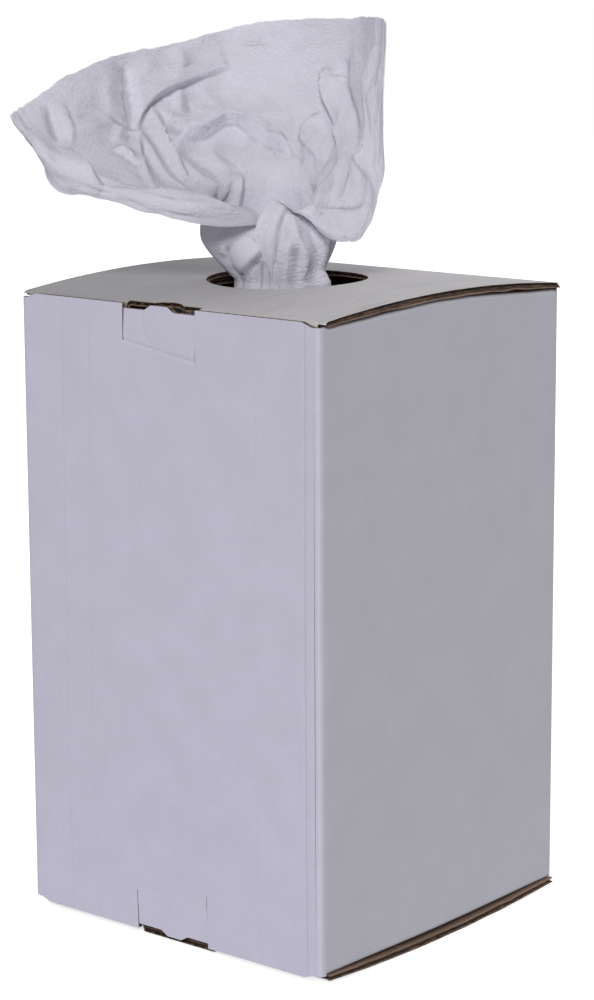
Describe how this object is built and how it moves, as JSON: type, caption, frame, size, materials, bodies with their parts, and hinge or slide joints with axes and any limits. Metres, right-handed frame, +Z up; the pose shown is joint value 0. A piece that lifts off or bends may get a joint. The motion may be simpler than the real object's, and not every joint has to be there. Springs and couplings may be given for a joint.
{
  "type": "centre-pull wipe dispenser carton",
  "caption": "Tuck-end carton of white-faced corrugated board holding a coreless roll of nonwoven wipes, with the next wipe pulled up through the round hole in its lid.",
  "frame": {"origin": "on the ground, under the middle of the carton", "axes": "+Z up, the front wall with the locks faces -Y, and both flaps hinge on the back wall at +Y"},
  "size_m": [0.2558, 0.2526, 0.5598],
  "materials": {
    "board": "matt white-faced liner outside, brown kraft inside and at the raw edges",
    "nonwoven": "matt creped nonwoven, a little translucent"
  },
  "bodies": {
    "carton": {"carton_walls": "board", "wipe_roll": "nonwoven", "web_tail": "nonwoven"},
    "lid": {"top_lid": "board"},
    "base_flap": {"bottom_lid": "board"},
    "sheet": {"pulled_sheet": "nonwoven"}
  },
  "joints": [
    {"name": "lid_hinge", "type": "hinge", "parent": "carton", "child": "lid", "pos_m": [0, 0.118, 0.3961], "axis": [-1, 0, 0], "range_deg": [0, 180]},
    {"name": "base_flap_hinge", "type": "hinge", "parent": "carton", "child": "base_flap", "pos_m": [0, 0.118, 0.0045], "axis": [1, 0, 0], "range_deg": [0, 180]},
    {"name": "sheet_pull", "type": "slide", "parent": "lid", "child": "sheet", "axis": [0, 0, 1], "range_m": [0, 0.08]}
  ]
}
